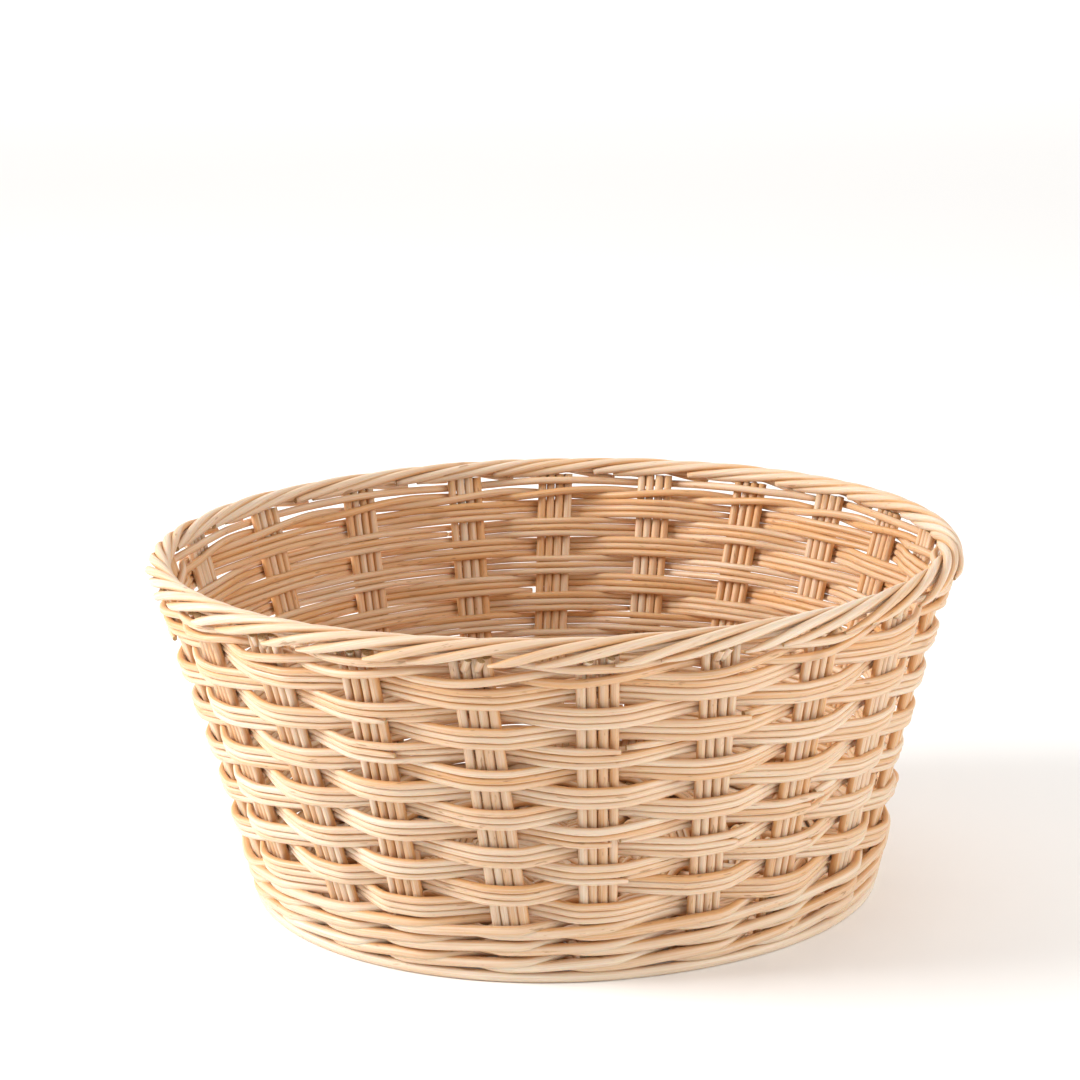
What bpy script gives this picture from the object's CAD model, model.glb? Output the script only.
"""Round woven cane basket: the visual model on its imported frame.

Every rod is a tube swept along a formula for its path. The wall is a cone, and a rod's place on it
is told by how many stake groups it has passed, how far it stands out from the stakes, and how far
it is shifted up the slope.
"""

import math
import random

import bmesh
import bpy
from bpy.props import FloatProperty, FloatVectorProperty, PointerProperty
from mathutils import Matrix, Vector, noise


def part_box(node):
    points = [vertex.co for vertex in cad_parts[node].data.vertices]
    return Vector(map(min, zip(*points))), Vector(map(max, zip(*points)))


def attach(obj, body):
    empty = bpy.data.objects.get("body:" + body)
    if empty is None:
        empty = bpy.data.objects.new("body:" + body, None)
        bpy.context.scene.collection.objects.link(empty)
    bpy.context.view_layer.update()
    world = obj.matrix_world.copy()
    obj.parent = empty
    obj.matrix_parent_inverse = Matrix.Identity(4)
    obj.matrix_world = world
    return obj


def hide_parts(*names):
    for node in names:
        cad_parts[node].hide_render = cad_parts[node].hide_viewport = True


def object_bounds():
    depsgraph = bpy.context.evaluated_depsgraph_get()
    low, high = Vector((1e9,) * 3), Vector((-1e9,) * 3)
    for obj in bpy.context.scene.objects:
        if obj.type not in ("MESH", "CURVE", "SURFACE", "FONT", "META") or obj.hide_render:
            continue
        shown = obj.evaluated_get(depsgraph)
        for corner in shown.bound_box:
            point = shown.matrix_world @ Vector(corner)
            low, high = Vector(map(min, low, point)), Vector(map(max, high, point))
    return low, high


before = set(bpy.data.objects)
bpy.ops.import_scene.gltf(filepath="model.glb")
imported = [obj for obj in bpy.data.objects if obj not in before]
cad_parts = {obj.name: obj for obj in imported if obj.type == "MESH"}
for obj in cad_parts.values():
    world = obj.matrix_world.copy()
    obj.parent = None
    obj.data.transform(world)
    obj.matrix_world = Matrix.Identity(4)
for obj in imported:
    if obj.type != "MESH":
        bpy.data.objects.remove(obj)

bl_info = {
    "name": "Woven cane basket",
    "version": (1, 0, 0),
    "blender": (4, 5, 0),
    "location": "3D View > Sidebar > Basket",
    "description": "Builds a round woven cane basket, rod by rod, on its packed frame",
    "category": "Add Mesh",
}

MM = 0.001
CAD_BOX = [[round(value, 6) for value in corner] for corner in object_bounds()]
RIM_D = (CAD_BOX[1][0] - CAD_BOX[0][0]) / MM
BASKET_H = CAD_BOX[1][2] / MM
FOOT_D = (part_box("foot_rod")[1][0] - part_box("foot_rod")[0][0]) / MM

GROUPS = 22
SIDE_ROWS = 12
BASE_ROWS = 8
RODS_PER_GROUP = 4
RODS_PER_BAND = 3
LOWER_STICKS = 5
UPPER_STICKS = 6


# Sizes and colours that a user would change


def length(name, description, default):
    """A length property. Its default is given in millimetres and kept in metres."""
    return FloatProperty(
        name=name, description=description, default=default * MM,
        subtype="DISTANCE", unit="LENGTH", min=0.0, precision=5,
    )


def colour(name, description, default):
    """A linear colour property."""
    return FloatVectorProperty(
        name=name, description=description, default=default,
        subtype="COLOR", size=3, min=0.0, max=1.0,
    )


class BasketSizes(bpy.types.PropertyGroup):
    """Thicknesses of the cane."""

    stake_d: length("Stake", "Diameter of a side stake", 3.1)
    weaver_d: length("Weaver", "Diameter of a rod in the side weave", 2.52)
    wale_d: length("Wale rod", "Diameter of a heavy rod at the foot", 3.55)
    pairing_d: length("Pairing rod", "Diameter of the rods above the side weave", 2.8)
    stick_d: length("Base stick", "Diameter of a base stick", 4.0)
    border_w: length("Border rod width", "Width of a flattened border rod", 3.05)
    border_t: length("Border rod thickness", "Thickness of a flattened border rod", 2.6)

    def mm(self, name):
        """One thickness in millimetres."""
        return getattr(self, name) / MM


class BasketColours(bpy.types.PropertyGroup):
    """Colours of the cane and the floor."""

    light: colour("Peeled cane", "Lightest peeled cane", (0.74, 0.65, 0.53))
    warm: colour("Warm cane", "Warmer and older cane", (0.64, 0.345, 0.142))
    nick: colour("Nicks", "Small nicks and leaf nodes", (0.30, 0.15, 0.06))
    pith: colour("Cut ends", "Open pith of a cut end", (0.50, 0.33, 0.16))
    floor: colour("Floor", "The pale floor", (0.95, 0.945, 0.94))


# Layout, in millimetres and degrees: the same formulas as the CAD model's

# Rim and wall
FOOT_OVERHANG = 5.2
ROPE_R = 4.0
STRAND_CORNER = 0.17
RIM_R = RIM_D / 2 - ROPE_R
RIM_Z = BASKET_H - STRAND_CORNER - ROPE_R
FOOT_R = FOOT_D / 2 - FOOT_OVERHANG
SLOPE = (RIM_R - FOOT_R) / RIM_Z
TILT = math.atan(SLOPE)

# Stakes: where they bend up and stop, and how far one stands from the next in a group
CORNER_Z = 3.4
STAKE_TOP = RIM_Z - ROPE_R - 0.15
STAKE_R = 1.45
STAKE_STEP_FOOT = 2.95
STAKE_STEP_MORE = 0.7

# Groups: the first one's azimuth, the drift and hand spacing of the rest, and their lean
FIRST_AZ = -168.4
DRIFT_ONCE = 3.9
DRIFT_ONCE_AZ = 47.0
DRIFT_TWICE = 2.2
DRIFT_TWICE_AZ = 291.0
NUDGES = (0,) * 13 + (0.3, 0.9, 1.4, 0.6, -2.3, -1.8, -0.5, 2.0, 0)
LEAN_EVEN = 3.3
LEAN_ODD = 1.0

# Base
BASE_Z = 6.3
LEG_START = 81.0
STICK_END = 83.0
FAN_R = 33.0
CROSS_HALF = 15.0
BASE_BAND_W = RODS_PER_BAND * 2.25

# Foot: how far it stands out of round, towards which azimuth, and up to what height
BULGE = 3.4
BULGE_AZ = -12.0
BULGE_NARROW = 1.4
BULGE_TOP = 54.0
BULGE_FADE = 36.0

UP = Vector((0.0, 0.0, 1.0))


def eased(t):
    """A step from 0 to 1 that starts and ends gently."""
    return t * t * (3.0 - 2.0 * t)


def group_az(u):
    """Azimuth in degrees at the rim of group u, which may lie between two groups."""
    even = 360.0 / GROUPS * u
    drift = (
        DRIFT_ONCE * math.cos(math.radians(even - DRIFT_ONCE_AZ))
        + DRIFT_TWICE * math.cos(math.radians(2 * even - DRIFT_TWICE_AZ))
    )
    first = math.floor(u)
    near, far = NUDGES[first % GROUPS], NUDGES[(first + 1) % GROUPS]
    return FIRST_AZ + even + drift + near + (far - near) * eased(u - first)


def wall_az(u, z):
    """Azimuth in degrees of group u at height z: the groups lean forward towards the foot."""
    lean = (LEAN_EVEN + LEAN_ODD) / 2 + (LEAN_EVEN - LEAN_ODD) / 2 * math.cos(math.pi * u)
    return group_az(u) + lean * (1.0 - z / STAKE_TOP)


def bulge(az, z):
    """How far the foot stands out of round at one side, dying away up the wall."""
    away = (az - BULGE_AZ + 180.0) % 360.0 - 180.0
    side = max(0.0, math.cos(math.radians(BULGE_NARROW * away)))
    return BULGE * side * side * eased(max(0.0, min(1.0, (BULGE_TOP - z) / BULGE_FADE)))


def wall_r(z, az):
    """Radius of the middle of the stakes at height z."""
    return FOOT_R + SLOPE * z + bulge(az, z)


def polar(r, az, z):
    """A point from its radius, azimuth in degrees and height."""
    return Vector((r * math.cos(math.radians(az)), r * math.sin(math.radians(az)), z))


def beside(r, az, offset, z):
    """A point beside the radius at azimuth az."""
    return polar(r, az, z) + offset * polar(1.0, az + 90.0, 0.0)


def wall_point(az, z, out, up):
    """A point on the wall at height z, moved out along its normal and up along its slope."""
    return polar(
        wall_r(z, az) + out * math.cos(TILT) + up * math.sin(TILT),
        az,
        z - out * math.sin(TILT) + up * math.cos(TILT),
    )


def wall_normal(az):
    """The outward normal of the wall."""
    return polar(math.cos(TILT), az, -math.sin(TILT))


def plateau(wave, flatness):
    """A cosine wave with its crests flattened."""
    return math.tanh(flatness * wave) / math.tanh(flatness)


# Rods: how many metres of an end taper, how much a rod swells along its run, and how often a metre

TAPER_RUN = 0.007
SWELL = 0.03
SWELL_PITCH = 60.0


class Cane:
    """Collects the rods of one piece in one bmesh."""

    def __init__(self, seed):
        self.bm = bmesh.new()
        self.dice = random.Random(seed)

    def rod(self, points, outs, width, thickness, around=10, closed=False, taper=(1.0, 1.0)):
        """Sweep a tube along points. outs gives each station's outer direction.

        width is across the path and thickness along outs. taper scales the two ends, and each rod
        gets its own tint and its own stretch of grain. An open rod also swells and thins a little
        along its run. Its ends are closed by faces in the second material, the cut pith.
        """
        one = bmesh.new()
        uv = one.loops.layers.uv.new("UVMap")
        tint = one.verts.layers.float.new("tint")
        last = len(points) - 1
        bmesh.ops.create_grid(one, x_segments=last, y_segments=around, size=0.5, calc_uvs=False)
        run = [0.0]
        for a, b in zip(points, points[1:]):
            run.append(run[-1] + (b - a).length * MM)
        shade = self.dice.random()
        start = self.dice.random() * 7.0
        wobble = self.dice.random() * 50.0
        for face in one.faces:
            for loop in face.loops:
                s = round((loop.vert.co.x + 0.5) * last)
                loop[uv].uv = (start + run[s], loop.vert.co.y + 0.5)
        sections = [self.section(points, outs, s, closed) for s in range(last + 1)]
        for vert in one.verts:
            s = round((vert.co.x + 0.5) * last)
            turn = math.tau * (vert.co.y + 0.5)
            out, side = sections[s]
            ends = min(
                taper[0] + (1.0 - taper[0]) * min(1.0, run[s] / TAPER_RUN),
                taper[1] + (1.0 - taper[1]) * min(1.0, (run[last] - run[s]) / TAPER_RUN),
            )
            swell = 1.0
            if not closed:
                swell += SWELL * noise.noise(Vector((wobble + run[s] * SWELL_PITCH, 0.0, 0.0)))
            vert[tint] = shade
            vert.co = (
                points[s]
                + out * (-math.cos(turn) * thickness / 2 * ends * swell)
                + side * (math.sin(turn) * width / 2 * ends * swell)
            ) * MM
        bmesh.ops.remove_doubles(one, verts=one.verts, dist=1e-6)
        if not closed:
            rims = [edge for edge in one.edges if edge.is_boundary]
            caps = bmesh.ops.holes_fill(one, edges=rims, sides=0)["faces"]
            for cap in caps:
                cap.material_index = 1
        for face in one.faces:
            face.smooth = face.material_index == 0
        bmesh.ops.recalc_face_normals(one, faces=one.faces)
        mesh = bpy.data.meshes.new("rod")
        one.to_mesh(mesh)
        one.free()
        self.bm.from_mesh(mesh)
        bpy.data.meshes.remove(mesh)

    def ring(self, points, outs, d, around=8):
        """Sweep a round rod that joins up with its own start."""
        self.rod(points, outs, d, d, around=around, closed=True)

    @staticmethod
    def section(points, outs, s, closed):
        """The outer and sideways directions of the rod's section at station s."""
        last = len(points) - 1
        before = points[s - 1] if s > 0 else (points[last - 1] if closed else points[0])
        after = points[s + 1] if s < last else (points[1] if closed else points[last])
        along = (after - before).normalized()
        side = along.cross(outs[s]).normalized()
        return side.cross(along), side

    def finish(self, node, slot):
        """Make the piece that stands for a CAD node, in the slot's finish."""
        mesh = bpy.data.meshes.new(node)
        self.bm.to_mesh(mesh)
        self.bm.free()
        for material in finish_of(slot):
            mesh.materials.append(material)
        piece = bpy.data.objects.new(node, mesh)
        bpy.context.scene.collection.objects.link(piece)
        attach(piece, "root")
        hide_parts(node)


def strung(knots, steps, passes):
    """Points along the straight lines between knots, with the corners eased as a stiff rod would."""
    points = [a.lerp(b, s / steps) for a, b in zip(knots, knots[1:]) for s in range(steps)]
    points.append(knots[-1])
    return softened(points, passes)


def softened(points, passes):
    """An open line of points with its corners eased in so many passes."""
    for _ in range(passes):
        middle = [(a + b * 2 + c) / 4 for a, b, c in zip(points, points[1:], points[2:])]
        points = [points[0], *middle, points[-1]]
    return points


def azimuth(point):
    """A point's azimuth in degrees."""
    return math.degrees(math.atan2(point.y, point.x))


def wall_rod(cane, knots, d, steps=3, passes=1, around=10):
    """A rod along knots on the wall, a little thinner at its two ends."""
    points = strung(knots, steps, passes)
    outs = [wall_normal(azimuth(point)) for point in points]
    cane.rod(points, outs, d, d, around=around, taper=(0.75, 0.6))


class Crossings:
    """How a round passes each group: one set of chances shared by its rods.

    d is the diameter of the round's rods, and lift is how far a crossing may sit off the round's
    height. The four chances of a group are its shift along the round, its lift, how far the middle
    of the crossing stands proud, and how loosely the whole crossing holds.
    """

    # Most that the middle of a crossing stands proud, and the room past a group for a rod to turn
    PROUD = 0.9
    TURN_ROOM = 0.7
    # How far a rod's start is tucked in and its end laid over it, where the two overlap
    TUCK = 1.3
    OVERLAP = 0.8
    # How far a rod strays from its place at each knot
    STRAY = 0.12

    def __init__(self, seed, parity, z, d, lift):
        dice = random.Random(seed)
        self.parity = parity
        self.z = z
        self.reach = STAKE_R + d / 2 + 0.05
        group_w = (RODS_PER_GROUP - 1) * (STAKE_STEP_FOOT + STAKE_STEP_MORE * z / STAKE_TOP) + 3.0
        self.half = group_w / 2 + self.TURN_ROOM
        self.chances = [
            (
                dice.uniform(-0.8, 0.8), dice.uniform(-lift, lift),
                self.PROUD * dice.random() ** 1.5, dice.uniform(0.0, 0.3),
            )
            for _ in range(GROUPS)
        ]

    def side(self, i):
        """1 where the round passes outside group i and -1 where it passes inside."""
        return 1 if (i + self.parity) % 2 == 0 else -1

    def knots(self, dice, seam, up_of):
        """One rod's knots, from just past group seam, once round and over its own start.

        up_of gives the rod's place up the slope at a number of groups passed.
        """
        knots = []
        for step in range(GROUPS + 1):
            i = seam + step
            side = self.side(i)
            shift, lift, apex, press = self.chances[i % GROUPS]
            pitch = wall_r(self.z, 0.0) * math.tau / GROUPS
            stops = (
                (shift - self.half, side * (self.reach + press)),
                (shift, side * (self.reach + press + apex)),
                (shift + self.half, side * (self.reach + press)),
                (pitch / 2, 0.0),
            )
            for place, (along, out) in enumerate(stops):
                if step == 0 and place < 2 or step == GROUPS and place > 2:
                    continue
                u = i + along / pitch
                sway = lift * (1.0 if place < 3 else 0.3)
                if step == 0 and place == 2:
                    out -= self.TUCK
                if step == GROUPS and place == 2:
                    out += self.OVERLAP
                    u += dice.uniform(-0.1, 0.1)
                knots.append(wall_point(
                    wall_az(u, self.z), self.z,
                    out + dice.uniform(-self.STRAY, self.STRAY),
                    up_of(u) + sway + dice.uniform(-self.STRAY, self.STRAY),
                ))
        return knots


def middle_z(node):
    """The height in the middle of a CAD node."""
    low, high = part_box(node)
    return (low[2] + high[2]) / 2 / MM


# Materials


def link(tree, source, output, target, field):
    """Join two nodes."""
    tree.links.new(source.outputs[output], target.inputs[field])


def math_node(tree, operation, first, second=None):
    """A math node on a socket and a number or a second socket."""
    node = tree.nodes.new("ShaderNodeMath")
    node.operation = operation
    for field, value in enumerate((first, second)):
        if value is None:
            continue
        if isinstance(value, (int, float)):
            node.inputs[field].default_value = value
        else:
            tree.links.new(value, node.inputs[field])
    return node.outputs[0]


def mixed(tree, factor, first, second):
    """A colour mix of two sockets or colours."""
    node = tree.nodes.new("ShaderNodeMix")
    node.data_type = "RGBA"
    for field, value in ((0, factor), (6, first), (7, second)):
        if isinstance(value, (int, float)):
            node.inputs[field].default_value = value
        elif isinstance(value, tuple):
            node.inputs[field].default_value = (*value, 1.0)
        else:
            tree.links.new(value, node.inputs[field])
    return node.outputs[2]


def ranged(tree, value, low, high, to_low=0.0, to_high=1.0):
    """A socket's range mapped to another, clamped."""
    node = tree.nodes.new("ShaderNodeMapRange")
    tree.links.new(value, node.inputs[0])
    for field, number in zip((1, 2, 3, 4), (low, high, to_low, to_high)):
        node.inputs[field].default_value = number
    return node.outputs[0]


def grain(tree, rod, stretch, fineness, detail):
    """Noise drawn out along the rod. rod is the place along it and the cosine and sine round it."""
    along, round_x, round_y = rod
    place = tree.nodes.new("ShaderNodeCombineXYZ")
    tree.links.new(math_node(tree, "MULTIPLY", along, stretch), place.inputs[0])
    tree.links.new(math_node(tree, "MULTIPLY", round_x, fineness), place.inputs[1])
    tree.links.new(math_node(tree, "MULTIPLY", round_y, fineness), place.inputs[2])
    node = tree.nodes.new("ShaderNodeTexNoise")
    node.inputs["Scale"].default_value = 1.0
    node.inputs["Detail"].default_value = detail
    link(tree, place, 0, node, "Vector")
    return node.outputs["Fac"]


def cane_material(name, depth):
    """Make peeled cane: long fibres, a tint for each rod, slow bands of colour and small nicks.

    depth is how far the fibres, tints and bands go from light cane to warm. The side of a rod that
    faces the stakes and its two flanks are warmer too, as where cane is less bleached.
    """
    colours = bpy.context.scene.basket_colours
    light = tuple(colours.light)
    warm = tuple(colours.warm)
    nick = tuple(colours.nick)
    material = bpy.data.materials.new(name)
    material.use_nodes = True
    tree = material.node_tree
    shader = tree.nodes["Principled BSDF"]
    uv = tree.nodes.new("ShaderNodeUVMap")
    uv.uv_map = "UVMap"
    split = tree.nodes.new("ShaderNodeSeparateXYZ")
    link(tree, uv, 0, split, 0)
    turn = math_node(tree, "MULTIPLY", split.outputs[1], math.tau)
    round_x = math_node(tree, "COSINE", turn)
    round_y = math_node(tree, "SINE", turn)
    tint = tree.nodes.new("ShaderNodeAttribute")
    tint.attribute_name = "tint"
    rod = (split.outputs[0], round_x, round_y)
    fibres = grain(tree, rod, 28.0, 4.5, 6.0)
    bands = grain(tree, rod, 14.0, 0.5, 2.0)
    nicks = grain(tree, rod, 190.0, 1.4, 2.0)
    knots = grain(tree, rod, 55.0, 0.25, 1.0)
    cracks = grain(tree, rod, 38.0, 12.0, 3.0)
    streaks = ranged(tree, fibres, 0.35, 0.68)
    shade = math_node(tree, "MULTIPLY", streaks, 0.40 * depth)
    shade = math_node(tree, "ADD", shade, math_node(tree, "MULTIPLY", tint.outputs["Fac"], 0.38 * depth))
    shade = math_node(tree, "ADD", shade, ranged(tree, bands, 0.42, 0.66, 0.0, 0.30 * depth))
    shade = math_node(tree, "ADD", shade, ranged(tree, round_x, -0.1, 0.9, 0.0, 0.22))
    flank = ranged(tree, math_node(tree, "ABSOLUTE", round_y), 0.70, 1.0, 0.0, 0.40)
    shade = math_node(tree, "MINIMUM", math_node(tree, "ADD", shade, flank), 1.0)
    body = mixed(tree, shade, light, warm)
    lines = ranged(tree, cracks, 0.54, 0.70, 0.0, 0.42)
    body = mixed(tree, lines, body, tuple(value * 0.62 for value in warm))
    spots = math_node(tree, "MULTIPLY", ranged(tree, nicks, 0.64, 0.71), ranged(tree, bands, 0.46, 0.58))
    body = mixed(tree, math_node(tree, "MULTIPLY", spots, 0.65), body, nick)
    body = mixed(tree, ranged(tree, knots, 0.70, 0.78, 0.0, 0.30), body, nick)
    tree.links.new(body, shader.inputs["Base Color"])
    tree.links.new(ranged(tree, fibres, 0.3, 0.7, 0.42, 0.62), shader.inputs["Roughness"])
    bump = tree.nodes.new("ShaderNodeBump")
    bump.inputs["Strength"].default_value = 0.35
    bump.inputs["Distance"].default_value = 0.00025
    tree.links.new(fibres, bump.inputs["Height"])
    link(tree, bump, 0, shader, "Normal")
    shader.inputs["Specular IOR Level"].default_value = 0.55
    shader.inputs["Subsurface Weight"].default_value = 0.28
    shader.inputs["Subsurface Radius"].default_value = (1.0, 0.4, 0.15)
    shader.inputs["Subsurface Scale"].default_value = 0.0018


def pith_material():
    """Make the open, pricked pith of a cut end."""
    colours = bpy.context.scene.basket_colours
    material = bpy.data.materials.new("cut pith")
    material.use_nodes = True
    tree = material.node_tree
    shader = tree.nodes["Principled BSDF"]
    place = tree.nodes.new("ShaderNodeTexCoord")
    pores = tree.nodes.new("ShaderNodeTexVoronoi")
    pores.inputs["Scale"].default_value = 2600.0
    link(tree, place, "Object", pores, "Vector")
    dark = tuple(value * 0.45 for value in colours.pith)
    body = mixed(tree, ranged(tree, pores.outputs["Distance"], 0.15, 0.5), dark, tuple(colours.pith))
    tree.links.new(body, shader.inputs["Base Color"])
    shader.inputs["Roughness"].default_value = 0.85


# How warm each finish goes, by its slot
DEPTHS = {"stake_cane": 1.1, "weave_cane": 1.0, "foot_cane": 0.9, "border_cane": 0.8, "base_cane": 1.25}


def finish_of(slot):
    """A slot's cane and its cut pith. All the finishes are made at the first call."""
    if bpy.data.materials.get("cut pith") is None:
        pith_material()
        for name, depth in DEPTHS.items():
            cane_material(name.replace("_", " "), depth)
    return [bpy.data.materials[slot.replace("_", " ")], bpy.data.materials["cut pith"]]


# Operators


class BASKET_OT_base_sticks(bpy.types.Operator):
    """Cross the base sticks in two layers and fan them out to the stake groups"""

    bl_idname = "basket.base_sticks"
    bl_label = "Base sticks"

    def execute(self, context):
        d = context.scene.basket_sizes.mm("stick_d")
        layers = (("base_sticks_lower", 0, LOWER_STICKS), ("base_sticks_upper", LOWER_STICKS, UPPER_STICKS))
        for seed, (node, first, count) in enumerate(layers, start=10):
            cane = Cane(seed)
            for i in range(first, first + count):
                points = stick_path(i, d)
                cane.rod(points, [UP] * len(points), d, d, around=14)
            cane.finish(node, "base_cane")
        return {"FINISHED"}


def stick_path(i, d):
    """The path of base stick i, from its group through the cross to the group opposite."""
    lower_az = (
        wall_az(0, 0) + wall_az(LOWER_STICKS - 1, 0)
        + wall_az(GROUPS / 2, 0) + wall_az(GROUPS / 2 + LOWER_STICKS - 1, 0)
    ) / 4 - 90.0
    upper = i >= LOWER_STICKS
    first = LOWER_STICKS if upper else 0
    count = UPPER_STICKS if upper else LOWER_STICKS
    az = lower_az + 90.0 * upper
    z = BASE_Z + (d / 2 + 0.1) * (1 if upper else -1)
    offset = (i - first - (count - 1) / 2) * (d + 0.3)
    near_az = wall_az(i, CORNER_Z)
    far_az = wall_az(2 * first + GROUPS // 2 + count - 1 - i, CORNER_Z)
    stops = [
        polar(STICK_END, near_az, BASE_Z), polar(FAN_R, near_az, BASE_Z),
        beside(CROSS_HALF, az, offset, z), beside(-CROSS_HALF, az, offset, z),
        polar(FAN_R, far_az, BASE_Z), polar(STICK_END, far_az, BASE_Z),
    ]
    return softened(evenly(stops, 44), 3)


def evenly(stops, count):
    """Points spaced evenly along a line of stops."""
    runs = [0.0]
    for a, b in zip(stops, stops[1:]):
        runs.append(runs[-1] + (b - a).length)
    points = []
    for s in range(count + 1):
        run = runs[-1] * s / count
        k = max(i for i in range(len(stops) - 1) if runs[i] <= run + 1e-9)
        points.append(stops[k].lerp(stops[k + 1], (run - runs[k]) / (runs[k + 1] - runs[k])))
    return points


class BASKET_OT_base_rows(bpy.types.Operator):
    """Weave the rounds of three-rod band over and under the base sticks"""

    bl_idname = "basket.base_rows"
    bl_label = "Base weave"

    # Radius, height and rise of the single round that closes the base's edge
    EDGE_ROUND = (97.8, 4.3, 2.65)
    # Fine rounds in the middle: how many, how thick, the widest one's radius, and the step inwards
    FINE_ROUNDS = 7
    FINE_D = 1.7
    FINE_START = 33.6
    FINE_STEP = 1.8

    def execute(self, context):
        size = context.scene.basket_sizes
        d = size.mm("weaver_d")
        for j in range(1, BASE_ROWS + 1):
            node = f"base_row_{j}"
            low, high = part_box(node)
            rise = (high[2] - low[2]) / 2 / MM - d / 2 - 0.1
            band_r = (high[0] - low[0]) / 2 / MM - BASE_BAND_W / 2
            rounds = [(band_r + (k - 1) * 0.97 * d, middle_z(node), rise) for k in range(RODS_PER_BAND)]
            if j == BASE_ROWS:
                rounds.append(self.EDGE_ROUND)
            cane = Cane(100 + j)
            for place in rounds:
                points = self.one_round(j, *place)
                cane.ring(points, [UP] * len(points), d)
            if j == 1:
                self.centre(cane, size.mm("stick_d"))
            cane.finish(node, "base_cane")
        return {"FINISHED"}

    @staticmethod
    def one_round(j, r, z, rise):
        """One rod's path in round j: over one stick and under the next."""
        per_group = 10
        points = []
        for s in range(GROUPS * per_group + 1):
            u = s / per_group
            wave = plateau(math.cos(math.pi * (u + j)), 1.5)
            points.append(polar(r, wall_az(u, CORNER_Z), z + rise * wave))
        return points

    def centre(self, cane, stick_d):
        """Fine rounds that close the base between the crossed sticks and the first band."""
        paths = [stick_path(i, stick_d) for i in range(LOWER_STICKS + UPPER_STICKS)]
        reach = stick_d / 2 + 0.6
        for place in range(self.FINE_ROUNDS):
            r = self.FINE_START - self.FINE_STEP * place
            crossed = []
            for path in paths:
                for half in (path[:len(path) // 2], path[:len(path) // 2:-1]):
                    crossed.append(min(half, key=lambda point: abs(point.xy.length - r)))
            crossed.sort(key=azimuth)
            knots = []
            for i, stick in enumerate(crossed):
                side = 1 if (i + place) % 2 else -1
                knots.append(polar(r, azimuth(stick), stick.z + side * reach))
            points = strung([*knots, knots[0]], 6, 0)
            last = len(points) - 1
            points = [(points[s - 1] + points[s] * 2 + points[(s + 1) % last]) / 4 for s in range(last)]
            points.append(points[0])
            cane.ring(points, [UP] * len(points), self.FINE_D)


class BASKET_OT_foot_rod(bpy.types.Operator):
    """Lay the lowest rod, which the basket stands on"""

    bl_idname = "basket.foot_rod"
    bl_label = "Foot rod"

    THICK = 3.6
    INSET = 1.4

    def execute(self, context):
        low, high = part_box("foot_rod")
        radius = (high[0] - low[0]) / 2 / MM - self.INSET
        turns = [1.5 * s for s in range(241)]
        points = [polar(radius + bulge(az, 0.0), az, self.THICK / 2) for az in turns]
        outs = [polar(1.0, az, 0.0) for az in turns]
        cane = Cane(200)
        cane.ring(points, outs, self.THICK, around=12)
        cane.finish("foot_rod", "foot_cane")
        return {"FINISHED"}


class BASKET_OT_wale_rows(bpy.types.Operator):
    """Wale the foot: three heavy rods, each outside two groups and inside one"""

    bl_idname = "basket.wale_rows"
    bl_label = "Foot wale"

    # The group at which the rods start and end
    SEAM = 16
    # How far a rod rises or falls from the middle of its round
    RISE = 1.7

    def execute(self, context):
        d = context.scene.basket_sizes.mm("wale_d")
        stroke = self.stroke(STAKE_R + d / 2 + 0.1)
        for j in range(1, 4):
            node = f"wale_row_{j}"
            z = middle_z(node)
            cane = Cane(300 + j)
            for k in range(3):
                knots = []
                for first in range(self.SEAM - 1 - k, self.SEAM + GROUPS, 3):
                    for passed, out, up in stroke:
                        u = first + passed + cane.dice.uniform(-0.05, 0.05)
                        if self.SEAM <= u <= self.SEAM + 0.1 + GROUPS:
                            knots.append(wall_point(
                                wall_az(u, z), z - 0.3, out + cane.dice.uniform(-0.25, 0.25),
                                up + cane.dice.uniform(-0.3, 0.3),
                            ))
                wall_rod(cane, knots, d, steps=5, passes=3, around=12)
            cane.finish(node, "foot_cane")
        return {"FINISHED"}

    def stroke(self, reach):
        """Groups passed, distance out and distance up, from inside one group to inside the third next."""
        return (
            (0.20, -reach, -self.RISE),
            (0.80, reach * 0.9, -self.RISE * 0.75),
            (1.18, reach + 0.15, -self.RISE * 0.5),
            (1.82, reach + 0.3, self.RISE * 0.45),
            (2.20, reach + 0.1, self.RISE * 0.7),
            (2.80, -reach, self.RISE),
        )


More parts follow.
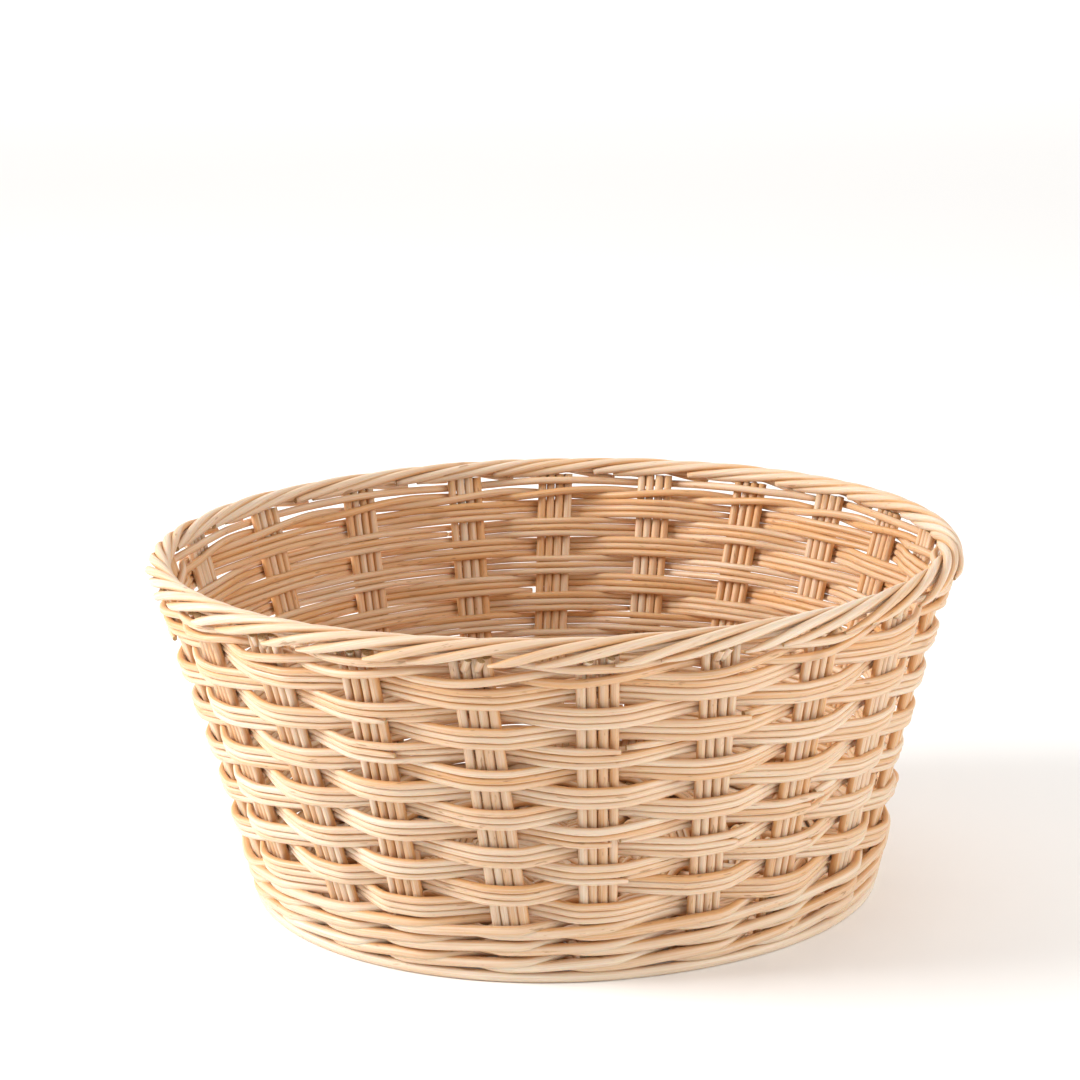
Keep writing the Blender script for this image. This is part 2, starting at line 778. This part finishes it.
class BASKET_OT_stakes(bpy.types.Operator):
    """Set the groups of stakes: in beside a base stick, bent up at the foot and up the wall"""

    bl_idname = "basket.stakes"
    bl_label = "Side stakes"

    # Space from a stick's side to the nearest leg, and from one stake to the next on its way up
    LEG_CLEAR = 1.9
    LEG_STEP = 3.15
    CORNER_STEP = 2.9
    RIM_STEP = 3.5
    # How far the stakes run up into the border
    TUCK = 2.0

    def execute(self, context):
        size = context.scene.basket_sizes
        for i in range(GROUPS):
            cane = Cane(400 + i)
            dice = random.Random(900 + i)
            for k in range(RODS_PER_GROUP):
                d = size.mm("stake_d") * (0.9 + 0.22 * dice.random())
                points = self.path(dice, i, k - (RODS_PER_GROUP - 1) / 2, size.mm("stick_d"))
                standing = wall_normal(wall_az(i, CORNER_Z))
                outs = [-UP] * 5 + [(standing - UP).normalized()] + [standing] * (len(points) - 6)
                cane.rod(points, outs, d, d * 0.97, around=12)
            cane.finish(f"stakes_{i + 1:02d}", "stake_cane")
        return {"FINISHED"}

    def path(self, dice, i, place, stick_d):
        """A stake's path, from its end in the base to its end in the border.

        place is the stake's place in group i, from the middle of the group.
        """
        side = 1.0 if place > 0 else -1.0
        leg = side * (stick_d / 2 + self.LEG_CLEAR) + (place - side / 2) * self.LEG_STEP
        foot_az = wall_az(i, CORNER_Z)
        rim_az = wall_az(i, STAKE_TOP)
        top_z = STAKE_TOP + self.TUCK
        inner = beside(LEG_START, foot_az, leg, BASE_Z)
        corner = beside(wall_r(CORNER_Z, foot_az), foot_az, place * self.CORNER_STEP, CORNER_Z)
        sway = dice.uniform(-0.35, 0.35)
        stray = dice.uniform(-0.25, 0.25)
        top = beside(wall_r(top_z, rim_az) - 0.4, rim_az, place * self.RIM_STEP + stray, top_z)
        middle = corner.lerp(top, 0.5) + sway * polar(1.0, foot_az + 90.0, 0.0)
        points = [inner.lerp(corner, s / 5 * 0.93) for s in range(6)]
        points.append(corner + (middle - corner).normalized() * 2.2 + (inner - corner).normalized() * 0.3)
        for s in range(1, 17):
            points.append(corner.lerp(middle, s / 16).lerp(middle.lerp(top, s / 16), s / 16))
        return points


class BASKET_OT_side_rows(bpy.types.Operator):
    """Weave the wall: rounds of three-rod band over one group and under the next"""

    bl_idname = "basket.side_rows"
    bl_label = "Side weave"

    # Space from one rod of a band to the next, as a share of a rod's diameter
    PITCH = 0.975

    def execute(self, context):
        d = context.scene.basket_sizes.mm("weaver_d")
        for j in range(1, SIDE_ROWS + 1):
            node = f"side_row_{j:02d}"
            cane = Cane(500 + j)
            row = Crossings(520 + j, j, middle_z(node), d, 0.25)
            for k in range(RODS_PER_BAND):
                up = (k - 1) * self.PITCH * d
                seam = 2 * cane.dice.randrange(GROUPS // 2) + j % 2
                thick = d * cane.dice.uniform(0.96, 1.06)
                wall_rod(cane, row.knots(cane.dice, seam, lambda u: up), thick)
            cane.finish(node, "weave_cane")
        return {"FINISHED"}


class BASKET_OT_pairing(bpy.types.Operator):
    """Twine a pair of rods above the side weave"""

    bl_idname = "basket.pairing"
    bl_label = "Pairing"

    # How far each rod rises and falls as it passes the other
    RISE = 1.35
    SEAM = 12

    def execute(self, context):
        d = context.scene.basket_sizes.mm("pairing_d")
        for k, node in enumerate(("pairing_rod_a", "pairing_rod_b")):
            cane = Cane(700 + k)
            row = Crossings(710 + k, k, middle_z(node), d, 0.3)
            knots = row.knots(cane.dice, self.SEAM + k, lambda u: self.RISE * math.sin(math.pi * (u + k)))
            wall_rod(cane, knots, d, around=12)
            cane.finish(node, "weave_cane")
        return {"FINISHED"}


class BASKET_OT_top_rod(bpy.types.Operator):
    """Weave the single rod under the rim, outside every second group"""

    bl_idname = "basket.top_rod"
    bl_label = "Single rod under the rim"

    # How far the rod is pushed up under the border
    PUSH = 0.7
    SEAM = 13

    def execute(self, context):
        d = context.scene.basket_sizes.mm("pairing_d")
        cane = Cane(720)
        row = Crossings(721, 1, middle_z("top_rod") + self.PUSH, d, 0.3)
        wall_rod(cane, row.knots(cane.dice, self.SEAM, lambda u: 0.0), d, around=12)
        cane.finish("top_rod", "weave_cane")
        return {"FINISHED"}


class BASKET_OT_rim_core(bpy.types.Operator):
    """Lay the bundle of tucked stake ends inside the border"""

    bl_idname = "basket.rim_core"
    bl_label = "Rim core"

    # The bundle: how many rods, how thick, how far from its middle, and how often they twist round
    RODS = 3
    ROD_D = 1.8
    BUNDLE_R = 0.9
    TWISTS = 11

    def execute(self, context):
        cane = Cane(730)
        turns = [360.0 * s / 264 for s in range(265)]
        for k in range(self.RODS):
            points = []
            for az in turns:
                twist = math.radians(self.TWISTS * az + 360 // self.RODS * k)
                points.append(polar(
                    RIM_R + self.BUNDLE_R * math.cos(twist), az, RIM_Z + self.BUNDLE_R * math.sin(twist),
                ))
            cane.ring(points, [polar(1.0, az, 0.0) for az in turns], self.ROD_D)
        cane.finish("rim_core", "border_cane")
        return {"FINISHED"}


class BASKET_OT_border(bpy.types.Operator):
    """Roll the border: pairs of flattened rods climb from outside over the rim and in"""

    bl_idname = "basket.border"
    bl_label = "Rolled border"

    # A strand starts outside and low, and climbs round the rim's rope by so many degrees a group
    CLIMB_FROM = -64.0
    CLIMB = 132.0
    # How many groups the first rod of a strand reaches, and how much further the second starts and ends
    REACH = 2.35
    SECOND_START = 0.36
    SECOND_REACH = 0.2
    # How far a strand's tip stands proud of the rope
    TIP_PROUD = 2.1

    def execute(self, context):
        size = context.scene.basket_sizes
        cane = Cane(800)
        dice = random.Random(801)
        for i in range(GROUPS):
            start = i + 0.12 + dice.uniform(-0.06, 0.06)
            roll = dice.uniform(-7.0, 7.0)
            for k in range(2):
                self.strand(cane, dice, size, start, k, roll)
            self.stubs(cane, dice, i)
        cane.finish("border_strands", "border_cane")
        return {"FINISHED"}

    def strand(self, cane, dice, size, start, k, roll):
        """One rod of a strand, from its tip outside to its end inside."""
        steps = 40
        width = size.mm("border_w")
        thickness = size.mm("border_t")
        begin = self.SECOND_START * k
        end = self.REACH + self.SECOND_REACH * k
        rope = ROPE_R - thickness / 2 + 0.25 + dice.uniform(-0.12, 0.12) + 0.45
        points = []
        outs = []
        for s in range(steps + 1):
            t = begin + (end - begin) * s / steps
            since = t - begin
            climb = self.CLIMB_FROM + self.CLIMB * since + 14.0 * math.exp(-since / 0.2) - 14.0 * k
            turn = math.radians(climb + roll)
            proud = rope - 0.55 * since + (self.TIP_PROUD - 0.9 * k) * math.exp(-(since / 0.42) ** 2)
            az = group_az(start + t)
            points.append(polar(RIM_R + proud * math.cos(turn), az, RIM_Z + proud * math.sin(turn)))
            outs.append(polar(math.cos(turn), az, math.sin(turn)))
        tips = (0.6, 0.8) if k else (0.35, 0.8)
        cane.rod(points, outs, width, thickness, around=14, taper=tips)

    @staticmethod
    def stubs(cane, dice, i):
        """The cut ends of the stakes that don't run on into the border."""
        for k in range(2):
            beside_group = dice.uniform(-4.5, 0.5) + 4.0 * k
            az = group_az(i) + math.degrees(beside_group / RIM_R)
            head_az = az + math.degrees(dice.uniform(0.5, 2.4) / RIM_R)
            foot = wall_point(az, STAKE_TOP - 2.5, 0.3, 0.0)
            head = wall_point(head_az, STAKE_TOP + 1.8, dice.uniform(1.0, 2.4), 0.0)
            points = [foot.lerp(head, s / 5) for s in range(6)]
            cane.rod(points, [wall_normal(az)] * len(points), 2.7, 2.5)


class BASKET_OT_stage(bpy.types.Operator):
    """Set the floor, the soft studio light and the camera"""

    bl_idname = "basket.stage"
    bl_label = "Stage"

    # Half the floor's width, in metres
    FLOOR_HALF = 14.0
    # The camera's distance and height in rim radii, its lens in millimetres, and its turns in degrees
    CAMERA_BACK = 7.1185
    CAMERA_UP = 2.5199
    LENS = 98.2
    PITCH = 13.08
    YAW = -0.28
    ROLL = -1.30

    def execute(self, context):
        scene = context.scene
        self.floor(scene)
        self.world(scene)
        self.light(scene, "key", (-1.55, -0.1, 0.9), 0.9, 41.0, (1.0, 0.995, 0.985))
        self.light(scene, "fill", (1.5, -0.8, 0.7), 1.2, 19.0, (1.0, 0.99, 0.97))
        self.light(scene, "ceiling", (0.0, 8.0, 4.5), 10.0, 420.0, (1.0, 1.0, 1.0), (0.0, 8.0, 0.0))
        self.camera(scene)
        scene.view_settings.view_transform = "Standard"
        return {"FINISHED"}

    def floor(self, scene):
        """A wide pale floor."""
        bm = bmesh.new()
        bmesh.ops.create_grid(bm, x_segments=1, y_segments=1, size=self.FLOOR_HALF)
        mesh = bpy.data.meshes.new("floor")
        bm.to_mesh(mesh)
        bm.free()
        material = bpy.data.materials.new("floor")
        material.use_nodes = True
        tree = material.node_tree
        shader = tree.nodes["Principled BSDF"]
        place = tree.nodes.new("ShaderNodeTexCoord")
        mottle = tree.nodes.new("ShaderNodeTexNoise")
        mottle.inputs["Scale"].default_value = 3.0
        link(tree, place, "Object", mottle, "Vector")
        tone = tuple(scene.basket_colours.floor)
        paler = tuple(min(1.0, value * 1.01) for value in tone)
        tree.links.new(mixed(tree, mottle.outputs["Fac"], tone, paler), shader.inputs["Base Color"])
        shader.inputs["Roughness"].default_value = 0.9
        shader.inputs["Specular IOR Level"].default_value = 0.1
        mesh.materials.append(material)
        floor = bpy.data.objects.new("floor", mesh)
        scene.collection.objects.link(floor)

    @staticmethod
    def world(scene):
        """An even white surround."""
        world = bpy.data.worlds.new("studio")
        world.use_nodes = True
        back = world.node_tree.nodes["Background"]
        back.inputs["Color"].default_value = (1.0, 0.975, 0.945, 1.0)
        back.inputs["Strength"].default_value = 0.55
        scene.world = world

    @staticmethod
    def light(scene, name, place, size, power, tone, target=(0.0, 0.0, 0.05)):
        """A square soft light that faces the target."""
        data = bpy.data.lights.new(name, "AREA")
        data.size = size
        data.energy = power
        data.color = tone
        lamp = bpy.data.objects.new(name, data)
        aim = Vector(target) - Vector(place)
        turn = aim.to_track_quat("-Z", "Y").to_matrix().to_4x4()
        lamp.matrix_world = Matrix.Translation(place) @ turn
        scene.collection.objects.link(lamp)

    def camera(self, scene):
        """A long lens a little above the rim, level within about a degree."""
        unit = RIM_D / 2 * MM
        data = bpy.data.cameras.new("camera")
        data.sensor_width = 36.0
        data.lens = self.LENS
        camera = bpy.data.objects.new("camera", data)
        pitch = math.radians(self.PITCH)
        yaw = math.radians(self.YAW)
        roll = math.radians(self.ROLL)
        ahead = Vector((math.sin(yaw) * math.cos(pitch), math.cos(yaw) * math.cos(pitch), -math.sin(pitch)))
        level = Vector((math.cos(yaw), -math.sin(yaw), 0.0))
        upright = level.cross(ahead)
        across = level * math.cos(roll) + upright * math.sin(roll)
        over = upright * math.cos(roll) - level * math.sin(roll)
        turn = Matrix((across, over, -ahead)).transposed().to_4x4()
        place = (0.0, -self.CAMERA_BACK * unit, self.CAMERA_UP * unit)
        camera.matrix_world = Matrix.Translation(place) @ turn
        scene.collection.objects.link(camera)
        scene.camera = camera


class BASKET_PT_panel(bpy.types.Panel):
    """Lists the basket's operators and settings."""

    bl_label = "Basket"
    bl_space_type = "VIEW_3D"
    bl_region_type = "UI"
    bl_category = "Basket"

    def draw(self, context):
        for group in (context.scene.basket_sizes, context.scene.basket_colours):
            for name in group.bl_rna.properties.keys():
                if name not in {"rna_type", "name"}:
                    self.layout.prop(group, name)
        for operator in OPERATORS:
            self.layout.operator(operator.bl_idname)


OPERATORS = (
    BASKET_OT_base_sticks,
    BASKET_OT_base_rows,
    BASKET_OT_foot_rod,
    BASKET_OT_wale_rows,
    BASKET_OT_stakes,
    BASKET_OT_side_rows,
    BASKET_OT_pairing,
    BASKET_OT_top_rod,
    BASKET_OT_rim_core,
    BASKET_OT_border,
    BASKET_OT_stage,
)
CLASSES = (BasketSizes, BasketColours, *OPERATORS, BASKET_PT_panel)


def register():
    """Register the classes and the scene's settings."""
    for cls in CLASSES:
        bpy.utils.register_class(cls)
    bpy.types.Scene.basket_sizes = PointerProperty(type=BasketSizes)
    bpy.types.Scene.basket_colours = PointerProperty(type=BasketColours)


def unregister():
    """Undo register()."""
    del bpy.types.Scene.basket_colours
    del bpy.types.Scene.basket_sizes
    for cls in reversed(CLASSES):
        bpy.utils.unregister_class(cls)


def main():
    """Build every piece and the stage."""
    register()
    for operator in OPERATORS:
        group, name = operator.bl_idname.split(".")
        getattr(getattr(bpy.ops, group), name)()


if __name__ == "__main__":
    main()
